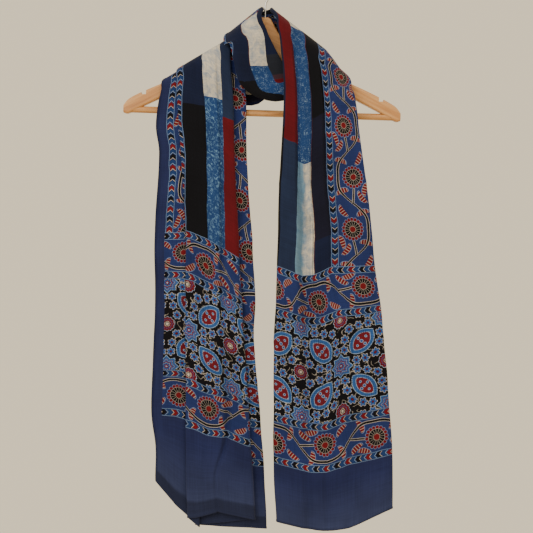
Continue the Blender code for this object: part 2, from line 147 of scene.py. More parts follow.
# Fold lines across the width: outer edge, middle of the outer strip, turn under, roll, three
# creases, side, two back turns, far edge. flat is the place across the flat cloth, hang the
# place across the hanging width, dip and mouth the depth and half width of the creases, gap the
# space from run to run, and back the depth of the first run behind the front.
LINES = 11
EDGE, STRIP, TURN, ROLL, CREASE_1, CREASE_2, CREASE_3, SIDE, BACK_1, BACK_2, FAR = range(LINES)
LAYOUTS = {
    "left hem": dict(
        flat=(0, 34, 68, 85, 97, 114, 136, 192, 290, 415, 500),
        hang=(-49, -18, 19, 0, 12, 28, 48, 106, 12, 124, 42),
        dip=(0.3, 1, 2), mouth=(3, 5, 5), gap=3.0, back=9.0),
    "left end": dict(
        flat=(0, 34, 68, 86, 97, 117, 150, 186, 290, 412, 500),
        hang=(-51, -17, 17, 0, 11, 31, 61, 95, -9, 114, 26),
        dip=(0.3, 1.5, 6.5), mouth=(3, 5, 4), gap=2.5, back=9.5),
    "left field": dict(
        flat=(0, 36, 72, 95, 102, 131, 159, 191, 308, 448, 500),
        hang=(-49, -13, 23, 0, 7, 34.5, 57, 84, -33, 107, 55),
        dip=(0.3, 1.5, 6.5), mouth=(2, 4, 4), gap=2.5, back=9.5),
    "left chest": dict(
        flat=(0, 31, 63, 90, 98, 131, 159, 188, 312, 456, 500),
        hang=(-35, -4, 28, 0, 8, 40.5, 63, 84, -28, 103, 58),
        dip=(0.5, 1.5, 4.5), mouth=(3, 4, 4), gap=2.2, back=7.5),
    "left shoulder": dict(
        flat=(0, 27, 55, 84, 97, 131, 155, 190, 318, 465, 500),
        hang=(-25, 2, 29, 0, 12, 41, 64, 85, -20, 97, 62),
        dip=(0.2, 0.4, 0.8), mouth=(3, 3, 3), gap=1.8, back=5.6),
    "leg": dict(
        flat=(0, 40, 80, 150, 156, 166, 178, 205, 305, 415, 500),
        hang=(4, 32, 60, 0, 6, 20, 38, 64, 4, 60, 10),
        dip=(0.1, 0.2, 0.2), mouth=(2, 2, 2), gap=1.8, back=5.6),
    "loop low": dict(
        flat=(0, 25, 50, 115, 120, 131, 165, 200, 305, 415, 500),
        hang=(15, 38, 62, 0, 5, 15, 40, 68, 4, 62, 8),
        dip=(0.1, 0.2, 0.3), mouth=(2, 3, 3), gap=1.8, back=5.6),
    "loop": dict(
        flat=(0, 14, 28, 98, 103, 131, 165, 197, 302, 412, 500),
        hang=(40, 52, 63, 0, 5, 26, 54, 80, 6, 72, 6),
        dip=(0.1, 0.2, 0.4), mouth=(2, 3, 3), gap=1.8, back=5.6),
    "loop high": dict(
        flat=(0, 11, 22, 91, 98, 131, 160, 174, 290, 405, 500),
        hang=(42, 51, 60, 0, 6, 31, 55, 66, 2, 58, 6),
        dip=(0.1, 0.3, 0.3), mouth=(3, 3, 3), gap=1.8, back=5.6),
    "right shoulder": dict(
        flat=(0, 4, 8, 30, 99, 131, 165, 203, 313, 415, 500),
        hang=(15, 19, 22, 0, 53.5, 72, 94, 114, 5, 104, 25),
        dip=(0.3, 0.3, 0.3), mouth=(4, 3, 4), gap=1.8, back=5.6),
    "right throat": dict(
        flat=(0, 4, 8, 30, 99, 131, 165, 203, 315, 417, 500),
        hang=(15, 19, 22, 0, 53.5, 72, 94, 114, 5, 104, 25),
        dip=(5, 2.5, 5), mouth=(5, 3, 5), gap=2.0, back=8.4),
    "right chest": dict(
        flat=(0, 4, 8, 30, 98, 131, 163, 203, 325, 420, 500),
        hang=(15, 19, 22, 0, 61.5, 84.7, 104, 133, 8, 105, 28),
        dip=(5, 3, 7), mouth=(6, 4, 6), gap=2.2, back=10.5),
    "right field": dict(
        flat=(0, 4, 8, 30, 97, 131, 150, 203, 345, 430, 500),
        hang=(16, 20, 23, 0, 66.6, 92.5, 110, 151, 10, 95, 25),
        dip=(2, 1.5, 11), mouth=(6, 5, 11), gap=2.5, back=14.0),
    "right end": dict(
        flat=(0, 4, 8, 30, 97, 131, 155, 215, 345, 430, 500),
        hang=(16, 20, 23, 0, 66, 92, 115, 168, 28, 110, 40),
        dip=(1.5, 2, 12), mouth=(8, 6, 13), gap=2.5, back=15.0),
    "right hem": dict(
        flat=(0, 4, 8, 30, 97, 131, 160, 215, 345, 430, 500),
        hang=(16, 20, 23, 0, 66, 100, 128, 180, 50, 130, 60),
        dip=(2, 2, 4), mouth=(10, 8, 12), gap=3.0, back=9.0),
}

# Height of printed or hemmed lines of the two hanging ends, at each fold line.
LEFT_LINES = {
    0.0: (-804, -843, -876, -861, -861, -857, -851, -864, -874, -880, -876),
    120.75: (-695, -697, -706, -714, -717, -727, -731, -745, -762, -779, -785),
    414.25: (-424, -423, -422, -420, -422, -433, -446, -463, -478, -501, -503),
}
RIGHT_LINES = {
    1704.75: (-474, -474, -474, -473, -476, -488, -491, -474, -487, -489, -488),
    1998.25: (-757, -757, -757, -755, -770, -783, -783, -768, -780, -783, -782),
    2100.0: (-847, -848, -849, -843, -873, -878, -876, -864, -869, -872, -870),
}

# Rows of the hanging ends: distance along the cloth, layout, X of the roll and of the side, depth
# of the front.
LEFT_ROWS = (
    (0.0, "left hem", -124, -18, 25),
    (60.0, "left hem", -125, -20, 24),
    (120.75, "left end", -125.5, -24.5, 23),
    (220.0, "left end", -125.5, -30.8, 24),
    (320.0, "left end", -125.5, -37, 25),
    (414.25, "left field", -125.5, -41.5, 25),
)
RIGHT_ROWS = (
    (1704.75, "right field", 167.4, 16.5, 38),
    (1765.0, "right end", 176.5, 13.7, 37),
    (1850.0, "right end", 183.5, 11.4, 35),
    (1925.0, "right end", 190, 10.9, 34),
    (1998.25, "right hem", 194, 11, 34),
    (2050.0, "right hem", 195, 12.5, 34),
    (2100.0, "right hem", 194.5, 15, 35),
)

# The wrap between them: layout, turn in degrees (0 hangs in front, 90 is over the left arm, 180
# behind, and so on), the places X, Z of the roll and of the side, and how far these two stand
# out from the middle of the wood.
WRAP = (
    ("left chest", 0, (-132.7, -297), (-49.7, -300), (23.0, 23.0)),
    ("left chest", 0, (-137.0, -235), (-52.0, -205), (22.0, 22.0)),
    ("left shoulder", 0, (-139.5, -180), (-56.0, -131), (18.6, 18.6)),
    ("left shoulder", 90, (-127.0, -172.2), (-44.0, -123.6), (18.8, 18.7)),
    ("left shoulder", 180, (-114.0, -163), (-31.0, -115), (18.4, 18.4)),
    ("left shoulder", 180, (-60.0, -184), (-17.0, -112), (18.4, 18.4)),
    ("left shoulder", 180, (-8.0, -186), (-3.0, -108), (18.4, 18.4)),
    ("leg", 180, (42.0, -129), (12.0, -100), (18.4, 18.4)),
    ("leg", 270, (50.0, -132.4), (20.0, -105.4), (18.8, 18.7)),
    ("leg", 360, (58.0, -141), (28.0, -114), (18.4, 18.4)),
    ("leg", 360, (62.0, -165), (26.0, -132), (18.4, 18.4)),
    ("leg", 360, (56.0, -196), (34.0, -146), (19.0, 18.4)),
    ("loop low", 360, (18.0, -213), (36.0, -160), (21.0, 18.6)),
    ("loop low", 360, (-20.0, -205), (40.0, -168), (28.0, 18.8)),
    ("loop", 360, (-43.0, -184), (34.0, -165), (33.0, 19.2)),
    ("loop", 360, (-50.0, -154), (24.0, -150), (33.0, 21.0)),
    ("loop high", 360, (-57.0, -126), (3.5, -112), (31.5, 28.0)),
    ("loop high", 382, (-58.5, -136), (-1.0, -95), (30.5, 29.4)),
    ("loop high", 450, (-41.3, -127), (12.0, -82.5), (29.8, 29.8)),
    ("right shoulder", 540, (20.0, -150), (0.0, -59), (30.5, 29.4)),
    ("right shoulder", 630, (107.4, -178), (-10.5, -85), (18.6, 29.4)),
    ("right shoulder", 712, (131.0, -196), (14.0, -101), (21.0, 30.5)),
    ("right throat", 720, (138.0, -215), (23.0, -140), (29.0, 34.0)),
    ("right throat", 720, (143.0, -262), (27.0, -200), (35.0, 36.5)),
    ("right chest", 720, (153.9, -345), (20.5, -332), (38.0, 38.0)),
    ("right field", 720, (162.0, -412), (17.5, -405), (38.0, 38.0)),
)
BAND_KEY = 15                        # the level row of the loop in front of the neck
BAND_LINE = 1056.0                   # its place along the flat cloth
LIFT_FROM, LIFT_TO = 0.05, 0.36      # where, between roll and side, the distance changes over


def key_row(layout_name, degrees, xs, zs, reach):
    """All the values of one row of the cloth in one array, so that rows can be blended."""
    layout = LAYOUTS[layout_name]
    return np.concatenate((layout["flat"], xs, zs, layout["dip"], layout["mouth"],
                           (layout["gap"], layout["back"], degrees), reach)).astype(float)


def hanging_key(along, layout_name, roll_x, side_x, depth, lines):
    hang = np.array(LAYOUTS[layout_name]["hang"], float)
    xs = roll_x + (side_x - roll_x) * hang / hang[SIDE]
    marks = sorted(lines)
    zs = [np.interp(along, marks, [lines[mark][line] for mark in marks]) for line in range(LINES)]
    return key_row(layout_name, 0.0 if along < BAND_LINE else 720.0, xs, zs, (depth, depth))


def wrapped_key(layout_name, degrees, roll, side, reach):
    hang = np.array(LAYOUTS[layout_name]["hang"], float)
    share = hang / hang[SIDE]
    xs = roll[0] + (side[0] - roll[0]) * share
    zs = roll[1] + (side[1] - roll[1]) * share
    return key_row(layout_name, degrees, xs, zs, reach)


def run_of(points, start, end, level, inset_start, inset_end, steps):
    """Evenly spaced points along one run, kept clear of the turns at its two ends."""
    span = end - start
    for share in np.linspace(inset_start / abs(span), 1 - inset_end / abs(span), steps):
        points.append((start + span * share, level))


def turn_of(points, line, level_0, level_1, steps):
    """The round nose between two runs."""
    radius = abs(level_1 - level_0) / 2
    for angle in np.linspace(math.pi / 2, -math.pi / 2, steps + 2)[1:-1]:
        rise = math.sin(angle) * math.copysign(radius, level_0 - level_1)
        inset = math.copysign(radius * (1 - math.cos(angle)), -angle) if angle else 0.0
        points.append((line + inset, (level_0 + level_1) / 2 + rise))


def smooth_step(value):
    value = np.clip(value, 0.0, 1.0)
    return value * value * (3 - 2 * value)


def section(flat, dips, mouths, gap, back):
    """One crosswise section as (place across the flat cloth, depth) points."""
    points = []
    small = gap / 2
    hem = HEM_WIDTH / 2
    points += [(0.0, -2 * gap), (hem, -2 * gap), (2 * hem, -2 * gap)]
    run_of(points, flat[EDGE], flat[TURN], -2 * gap, 3 * hem, small, 16)
    turn_of(points, flat[TURN], -2 * gap, -gap, 3)
    run_of(points, flat[TURN], flat[ROLL], -gap, small, small, 14)
    turn_of(points, flat[ROLL], -gap, 0.0, 3)
    edge = flat[ROLL] + small
    for line, dip, mouth in zip(flat[CREASE_1:SIDE], dips, mouths):
        reach = math.hypot(mouth, dip)
        run_of(points, edge, max(line - reach, edge + 1), 0.0, 0, 0.1, 5)
        for share in np.linspace(-1, 1, 9):
            points.append((line + reach * share, -dip * (0.5 + 0.5 * math.cos(math.pi * share))))
        edge = line + reach + 0.3
    wide = back / 2
    run_of(points, edge, flat[SIDE], 0.0, 0, wide, 7)
    turn_of(points, flat[SIDE], 0.0, -back, 7)
    run_of(points, flat[SIDE], flat[BACK_1], -back, wide, small, 16)
    turn_of(points, flat[BACK_1], -back, -back - gap, 3)
    run_of(points, flat[BACK_1], flat[BACK_2], -back - gap, small, small, 18)
    turn_of(points, flat[BACK_2], -back - gap, -back - 2 * gap, 3)
    run_of(points, flat[BACK_2], flat[FAR], -back - 2 * gap, small, 3 * hem, 12)
    points += [(STOLE_WIDTH - 2 * hem, -back - 2 * gap), (STOLE_WIDTH - hem, -back - 2 * gap),
               (STOLE_WIDTH, -back - 2 * gap)]
    places, levels = np.array(points).T
    return places, levels


# Where each kind of value stands in a row.
FLATS, XS, ZS = slice(0, LINES), slice(LINES, 2 * LINES), slice(2 * LINES, 3 * LINES)
AFTER = 3 * LINES
DIPS, MOUTHS = slice(AFTER, AFTER + 3), slice(AFTER + 3, AFTER + 6)
GAP, BACK, DEGREES, REACH_ROLL, REACH_SIDE = range(AFTER + 6, AFTER + 11)


def row_points(row, places, levels):
    """Points of one row, standing on the line from the roll to the side."""
    places = np.clip(places, 0.0, STOLE_WIDTH)
    xs = np.interp(places, row[FLATS], row[XS])
    zs = np.interp(places, row[FLATS], row[ZS])
    roll = np.array((row[XS][ROLL], row[ZS][ROLL]))
    across = np.array((row[XS][SIDE], row[ZS][SIDE])) - roll
    share = ((xs - roll[0]) * across[0] + (zs - roll[1]) * across[1]) / np.dot(across, across)
    lift = smooth_step((share - LIFT_FROM) / (LIFT_TO - LIFT_FROM))
    out = row[REACH_ROLL] + (row[REACH_SIDE] - row[REACH_ROLL]) * lift + levels
    turned = math.radians(row[DEGREES])
    ahead = np.array((-across[1], across[0])) / np.hypot(*across) * math.sin(turned)
    return np.stack((xs + ahead[0] * out, -math.cos(turned) * out, zs + ahead[1] * out), axis=1)


def fold_marks(row):
    return row_points(row, row[FLATS], np.zeros(LINES))


def smooth_between(marks, values, place):
    """A smooth curve through a table of arrays, read at one place."""
    index = int(np.clip(np.searchsorted(marks, place, side="right") - 1, 0, len(marks) - 2))
    slopes = []
    for key in (index, index + 1):
        low, high = max(key - 1, 0), min(key + 1, len(marks) - 1)
        slopes.append((values[high] - values[low]) / (marks[high] - marks[low]))
    span = marks[index + 1] - marks[index]
    share = (place - marks[index]) / span
    value = (values[index] * (1 + 2 * share) * (1 - share) ** 2
             + slopes[0] * span * share * (1 - share) ** 2
             + values[index + 1] * share ** 2 * (3 - 2 * share)
             - slopes[1] * span * share ** 2 * (1 - share))
    value[DEGREES] = values[index][DEGREES] * (1 - share) + values[index + 1][DEGREES] * share
    return value


left_keys = [hanging_key(*row, LEFT_LINES) for row in LEFT_ROWS]
wrap_keys = [wrapped_key(*row) for row in WRAP]
right_keys = [hanging_key(*row, RIGHT_LINES) for row in RIGHT_ROWS]
keys = np.array(left_keys + wrap_keys + right_keys)
marks = [row[0] for row in LEFT_ROWS]
for before, after in zip(keys[len(LEFT_ROWS) - 1:], keys[len(LEFT_ROWS):-len(RIGHT_ROWS) + 1]):
    step = np.linalg.norm(fold_marks(after) - fold_marks(before), axis=1)
    marks.append(marks[-1] + float(np.mean(step[EDGE + 1:FAR])))
left_end, right_start = LEFT_ROWS[-1][0], marks[-1]
marks += [right_start + row[0] - RIGHT_ROWS[0][0] for row in RIGHT_ROWS[1:]]
marks = np.array(marks)

hem_rows = [0.0, HEM_WIDTH / 2, HEM_WIDTH, HEM_WIDTH * 1.5]
places_along = hem_rows + list(np.arange(ROW_STEP, left_end - 1, ROW_STEP))
places_along += list(np.linspace(left_end, right_start,
                                 int((right_start - left_end) / ROW_STEP) + 1))
places_along += list(np.arange(right_start + ROW_STEP, marks[-1] - 2 * HEM_WIDTH, ROW_STEP))
places_along += [marks[-1] - place for place in reversed(hem_rows)]
places_along = np.array(places_along)

grid, across_flat = [], []
for place in places_along:
    row = smooth_between(marks, keys, place)
    flat = np.maximum.accumulate(row[FLATS])
    row[FLATS] = flat
    spots, levels = section(flat, row[DIPS], row[MOUTHS], row[GAP], row[BACK])
    grid.append(row_points(row, spots, levels))
    spots = np.maximum.accumulate(spots + np.arange(len(spots)) * 1e-3)
    across_flat.append(np.clip(spots, 0.0, STOLE_WIDTH))
grid, across_flat = np.array(grid), np.array(across_flat)

# Place along the flat cloth of every point. In the wrap it is measured over the surface, and
# what is left over is taken up where the stole passes behind the neck.
along_flat = np.zeros(across_flat.shape)
turns = np.array([smooth_between(marks, keys, place)[DEGREES] for place in places_along])
for index, place in enumerate(places_along):
    if place <= left_end:
        along_flat[index] = place
    elif place >= right_start - 1e-6:
        along_flat[index] = RIGHT_ROWS[0][0] + place - right_start
    else:
        s, s_before = across_flat[index], across_flat[index - 1]
        before = [np.interp(s, s_before, grid[index - 1][:, axis]) for axis in range(3)]
        step = np.linalg.norm(grid[index] - np.stack(before, axis=1), axis=1)
        along_flat[index] = np.interp(s, s_before, along_flat[index - 1]) + step


def take_up(target_index, target, first_turn, last_turn):
    """Shares out, over the rows between two turns, what is missing at one row."""
    missing = target - along_flat[target_index]
    inside = np.where((turns >= first_turn) & (turns <= last_turn))[0]
    start, end = places_along[inside[0]], places_along[inside[-1]]
    for index, place in enumerate(places_along):
        if left_end < place < right_start - 1e-6:
            share = smooth_step((place - start) / (end - start))
            along_flat[index] += share * np.interp(across_flat[index],
                                                   across_flat[target_index], missing)


band_mark = marks[len(LEFT_ROWS) + BAND_KEY]
band_row = int(np.argmin(np.abs(places_along - band_mark)))
take_up(band_row, BAND_LINE, 120, 250)
last_wrap = int(np.max(np.where(places_along < right_start - 1e-6)[0]))
short = RIGHT_ROWS[0][0] - (right_start - places_along[last_wrap])
take_up(last_wrap, short, 460, 620)

# Soft waves move all the runs of a hanging end together, and ridges stand where the stole was
# pressed into a packet.
PRESSED_LINES = (255.0, 490.0, 1570.0, 1815.0)
PRESSED_HEIGHT = 0.9
PRESSED_WIDTH = 5.0
WAVES = ((5.0, 85.0, 300.0, 1.0), (2.2, 32.0, 170.0, 7.0), (0.7, 14.0, 60.0, 13.0))


def unit(vectors):
    return vectors / np.maximum(np.linalg.norm(vectors, axis=-1, keepdims=True), 1e-9)


def directions(points, axis):
    """Direction of the grid lines at every point, the mean of the steps before and after."""
    steps = unit(np.diff(points, axis=axis))
    first, final = np.take(steps, [0], axis=axis), np.take(steps, [-1], axis=axis)
    return unit(np.concatenate((first, steps), axis=axis)
                + np.concatenate((steps, final), axis=axis))


for index in np.ndindex(across_flat.shape):
    x, _, z = grid[index]
    hanging = float(smooth_step((-z - 250) / 220))
    for height, wide, tall, seed in WAVES:
        grid[index][1] += hanging * height * noise.noise(Vector((x / wide, seed, z / tall)))
    grid[index][0] += hanging * 1.6 * noise.noise(Vector((x / 200, 31.0, z / 55)))
outward = unit(np.cross(directions(grid, 1), directions(grid, 0)))
for line in PRESSED_LINES:
    ridge = PRESSED_HEIGHT * np.exp(-np.abs(along_flat - line) / PRESSED_WIDTH)
    grid += outward * ridge[..., None]
edge_distance = np.minimum(np.minimum(across_flat, STOLE_WIDTH - across_flat),
                           np.minimum(along_flat, STOLE_LENGTH - along_flat))
hem = 1 - smooth_step((edge_distance - HEM_WIDTH) / (HEM_WIDTH / 2))
half = (CLOTH_THICKNESS + (HEM_THICKNESS - CLOTH_THICKNESS) * hem)[..., None] / 2
rows, columns = across_flat.shape
count = rows * columns
first = (np.arange(rows - 1)[:, None] * columns + np.arange(columns - 1)).ravel()
outer_faces = np.stack((first, first + 1, first + columns + 1, first + columns), axis=1)
rim = np.concatenate((np.arange(columns), np.arange(2, rows) * columns - 1,
                      [count - 1], np.arange(count - 2, count - columns - 1, -1),
                      np.arange(rows - 2, 0, -1) * columns))
ahead = np.roll(rim, -1)
rim_faces = np.stack((ahead, rim, count + rim, count + ahead), axis=1)
faces = np.concatenate((outer_faces, count + outer_faces[:, ::-1], rim_faces))
corners = np.concatenate((grid + outward * half, grid - outward * half)).reshape(-1, 3) * MM
cloth_mesh = bpy.data.meshes.new("stole")
cloth_mesh.from_pydata(corners.tolist(), [], faces.tolist())
flat_places = np.stack((across_flat.ravel(), along_flat.ravel()), axis=1) * MM
loops = faces.ravel()
flat_layer = cloth_mesh.uv_layers.new(name="flat cloth")
flat_layer.data.foreach_set("uv", flat_places[loops % count].ravel())
# Both faces of the cloth lie side by side in a second layout with no overlap.
spread = flat_places / (STOLE_WIDTH * MM * 2.2, STOLE_LENGTH * MM * 1.04) + (0.015, 0.015)
both = np.concatenate((spread, spread + (0.5, 0.0)))
bake_places = both[loops]
rim_loops = np.arange(len(loops)) >= 4 * (len(faces) - len(rim_faces))
beside = rim_loops & (loops >= count)
centre = np.array((0.015 + 0.5 / 2.2, 0.5))
on_rim = spread[loops % count]
bake_places[beside] = on_rim[beside] + 0.006 * np.sign(on_rim[beside] - centre)
bake_layer = cloth_mesh.uv_layers.new(name="OFBake")
bake_layer.data.foreach_set("uv", bake_places.ravel())
cloth_mesh.validate()
cloth_mesh.shade_smooth()
stole = bpy.data.objects.new("stole", cloth_mesh)
bpy.context.scene.collection.objects.link(stole)
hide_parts("cloth")
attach(stole, "root")

# The stole is soft cotton, printed by hand with wooden blocks in resist paste, iron black, alizarin
# red and indigo. Both faces carry the print. All places below are in millimetres on the flat cloth,
# and the drift gives the eye the small misfits of hand-set blocks.
PLAIN_SIDE = 16.0                    # width of the plain border along both long sides
LEFT_PLAIN, RIGHT_PLAIN = 115.0, 96.0   # lengths of the plain ends
PANEL_HALF = 152.5                   # half the length of a printed end panel
CROSS_BAND_EDGE = 76.5               # from the middle of a panel to its cross bands
FIELD_EDGE = 97.0                    # from a long side to the field

cotton, tree, surface = new_material("ajrakh printed cotton")
flat_place = add(tree, "UVMap", uv_map="flat cloth")
drift = add(tree, "TexNoise", flat_place, inputs={"Scale": 24.0, "Detail": 3.0})
drift = add(tree, "VectorMath.SUBTRACT", drift.node.outputs["Color"], (0.5, 0.5, 0.5))
drift = add(tree, "VectorMath.SCALE", drift, 6.0)
block_place = add(tree, "VectorMath.SCALE", flat_place, 1000.0)
block_place = add(tree, "VectorMath.ADD", block_place, drift)
s = add(tree, "SeparateXYZ", block_place)
t = s.node.outputs["Y"]
from_side = add(tree, "Math.MINIMUM", s, add(tree, "Math.SUBTRACT", STOLE_WIDTH, s))
from_end = add(tree, "Math.MINIMUM", add(tree, "Math.SUBTRACT", t, LEFT_PLAIN),
               add(tree, "Math.SUBTRACT", STOLE_LENGTH - RIGHT_PLAIN, t))
panel_middle = add(tree, "Math.SUBTRACT", from_end, PANEL_HALF)
from_middle = add(tree, "Math.ABSOLUTE", panel_middle)
in_panel = add(tree, "Math.LESS_THAN", from_middle, PANEL_HALF)
right_half = add(tree, "Math.GREATER_THAN", t, STOLE_LENGTH / 2)

# Ground of the end panels: iron black with a net of stars and ringed medallions, almonds between
# them and small blossoms, on a repeat of 140 mm. The folded place is the same in all eight sectors.
NET_STEP = 70.0
LEFT_STAR, RIGHT_STAR = 91.0, 99.0   # where the first star stands across each panel
net_x = add(tree, "Math.SUBTRACT", s, add(tree, "Mix", right_half, LEFT_STAR, RIGHT_STAR))
net_x = add(tree, "Math.PINGPONG", net_x, NET_STEP)
net_y = add(tree, "Math.PINGPONG", panel_middle, NET_STEP)
high = add(tree, "Math.MAXIMUM", net_x, net_y)
low = add(tree, "Math.MINIMUM", net_x, net_y)
over = add(tree, "Math.SUBTRACT", add(tree, "Math.ADD", high, low), NET_STEP)
over = add(tree, "Math.MAXIMUM", over, 0.0)
high = add(tree, "Math.SUBTRACT", high, over)
low = add(tree, "Math.SUBTRACT", low, over)
net_place = add(tree, "CombineXYZ", high, low)

RING_SPAN = 20.0                     # ring ramps run over this many millimetres


def polar(place):
    """Distance and angle of a place, seen from the middle of a figure."""
    parts = add(tree, "SeparateXYZ", place)
    angle = add(tree, "Math.ARCTAN2", parts.node.outputs["Y"], parts)
    return add(tree, "VectorMath.LENGTH", place), angle


def with_figure(ground, inside, depth, dotting, dot_dye, stops):
    """The ground with one kind of ringed and dotted figure laid over it."""
    rings = add(tree, "ValToRGB", add(tree, "Math.DIVIDE", depth, RING_SPAN), stops=stops)
    rings = add(tree, "Mix", add(tree, "Math.MULTIPLY", dots, dotting), rings, linear(dot_dye),
                data_type="RGBA")
    return add(tree, "Mix", inside, ground, rings, data_type="RGBA")


# Short curls of resist, then six-petalled blossoms.
curl = add(tree, "TexNoise", flat_place, inputs={"Scale": 95.0, "Detail": 0.5})
curl = add(tree, "Math.COMPARE", curl, 0.5, 0.016)
curl_patch = add(tree, "TexNoise", flat_place, inputs={"Scale": 60.0, "Detail": 1.0})
curl = add(tree, "Math.MULTIPLY", curl, add(tree, "Math.GREATER_THAN", curl_patch, 0.5))
colour = add(tree, "Mix", curl, linear("#0A0A11"), linear("#97918B"), data_type="RGBA")
for centre_x, centre_y in ((24.0, 7.0), (39.0, 9.0), (54.0, 15.0)):
    at = add(tree, "VectorMath.SUBTRACT", net_place, (centre_x, centre_y, 0.0))
    radius, angle = polar(at)
    lobes = add(tree, "Math.COSINE", add(tree, "Math.MULTIPLY", angle, 3.0))
    lobes = add(tree, "Math.MULTIPLY_ADD", add(tree, "Math.ABSOLUTE", lobes), -3.0, radius)
    for edge, size, tint in ((lobes, 4.1, "#B5AEA8"), (lobes, 3.4, "#2A5296"),
                             (radius, 2.0, "#0F1124"), (radius, 1.3, "#661219")):
        drawn = add(tree, "Math.LESS_THAN", edge, size)
        colour = add(tree, "Mix", drawn, colour, linear(tint), data_type="RGBA")

dots = add(tree, "TexVoronoi", flat_place, inputs={"Scale": 330.0, "Randomness": 0.3})
dots = add(tree, "Math.LESS_THAN", dots, 0.30)

# An almond is where two discs overlap, on the line halfway between a star's two axes.
ALMOND_MIDDLE, ALMOND_RADIUS, ALMOND_SHIFT, DIAGONAL = 49.5, 27.5, 11.5, 0.7071
sum_half = add(tree, "Math.MULTIPLY", add(tree, "Math.ADD", high, low), DIAGONAL)
almond_x = add(tree, "Math.SUBTRACT", sum_half, ALMOND_MIDDLE)
almond_y = add(tree, "Math.MULTIPLY", add(tree, "Math.SUBTRACT", high, low), DIAGONAL)
almond_place = add(tree, "CombineXYZ", almond_x, almond_y)
almond_arc = add(tree, "VectorMath.LENGTH",
                 add(tree, "VectorMath.ADD", almond_place, (0.0, ALMOND_SHIFT, 0.0)))
almond = add(tree, "Math.SUBTRACT", ALMOND_RADIUS, almond_arc)
colour = with_figure(colour, add(tree, "Math.GREATER_THAN", almond, 0.0), almond, 0.75, "#1B2647", (
    (0.0, "#8FA6C6"), (0.04, "#2A5595"), (0.275, "#8FA6C6"), (0.31, "#681319")))
bud_x = add(tree, "Math.PINGPONG", almond_x, 9.5)
bud_place = add(tree, "CombineXYZ", bud_x, almond_y)
for centre_x, centre_y, petal in ((0.0, 0.0, 2.6), (9.5, 0.0, 2.0), (0.0, 6.4, 2.4)):
    at = add(tree, "VectorMath.SUBTRACT", bud_place, (centre_x, centre_y, 0.0))
    radius = add(tree, "VectorMath.LENGTH", at)
    inside = add(tree, "Math.MULTIPLY", add(tree, "Math.LESS_THAN", radius, petal),
                 add(tree, "Math.GREATER_THAN", almond, 6.6))
    colour = add(tree, "Mix", inside, colour, linear("#93A6C4"), data_type="RGBA")
    heart = add(tree, "Math.MULTIPLY", inside, add(tree, "Math.LESS_THAN", radius, petal - 0.7))
    colour = add(tree, "Mix", heart, colour, linear("#264A8A"), data_type="RGBA")

# Eight-pointed stars, ringed from the edge inwards.
STAR_OUT, STAR_ACROSS = 0.662, 0.749   # direction that each side of a star faces
STAR_DEPTH = 12.58
star_radius = add(tree, "VectorMath.LENGTH", net_place)
star_angle = add(tree, "Math.ARCTAN2", low, high)
star_angle = add(tree, "Math.PINGPONG", star_angle, math.radians(22.5))
star_x = add(tree, "Math.MULTIPLY", star_radius, add(tree, "Math.COSINE", star_angle))
star_y = add(tree, "Math.MULTIPLY", star_radius, add(tree, "Math.SINE", star_angle))
star = add(tree, "Math.MULTIPLY_ADD", star_x, -STAR_OUT, STAR_DEPTH)
star = add(tree, "Math.MULTIPLY_ADD", star_y, -STAR_ACROSS, star)
colour = with_figure(colour, add(tree, "Math.GREATER_THAN", star, 0.0), star, 0.6, "#1B2647", (
    (0.0, "#8FA6C6"), (0.035, "#2A5595"), (0.17, "#661219"), (0.20, "#8FA6C6"), (0.22, "#2A5595"),
    (0.31, "#681319"), (0.38, "#8FA6C6"), (0.40, "#264A8A"), (0.50, "#681319"), (0.57, "#8FA6C6")))

# Round medallions with scalloped edges.
at = add(tree, "VectorMath.SUBTRACT", net_place, (NET_STEP, 0.0, 0.0))
disc_radius, disc_angle = polar(at)
lobes = add(tree, "Math.COSINE", add(tree, "Math.MULTIPLY", disc_angle, 6.0))
disc = add(tree, "Math.MULTIPLY_ADD", add(tree, "Math.ABSOLUTE", lobes), -1.6, disc_radius)
colour = with_figure(colour, add(tree, "Math.LESS_THAN", disc, 11.0), disc, 0.7, "#1B1C2C", (
    (0.0, "#C6BFB8"), (0.05, "#0C0B10"), (0.12, "#C6BFB8"), (0.16, "#681319"), (0.30, "#2A5595"),
    (0.33, "#681319"), (0.51, "#8FA6C6")))
panel_ground = colour

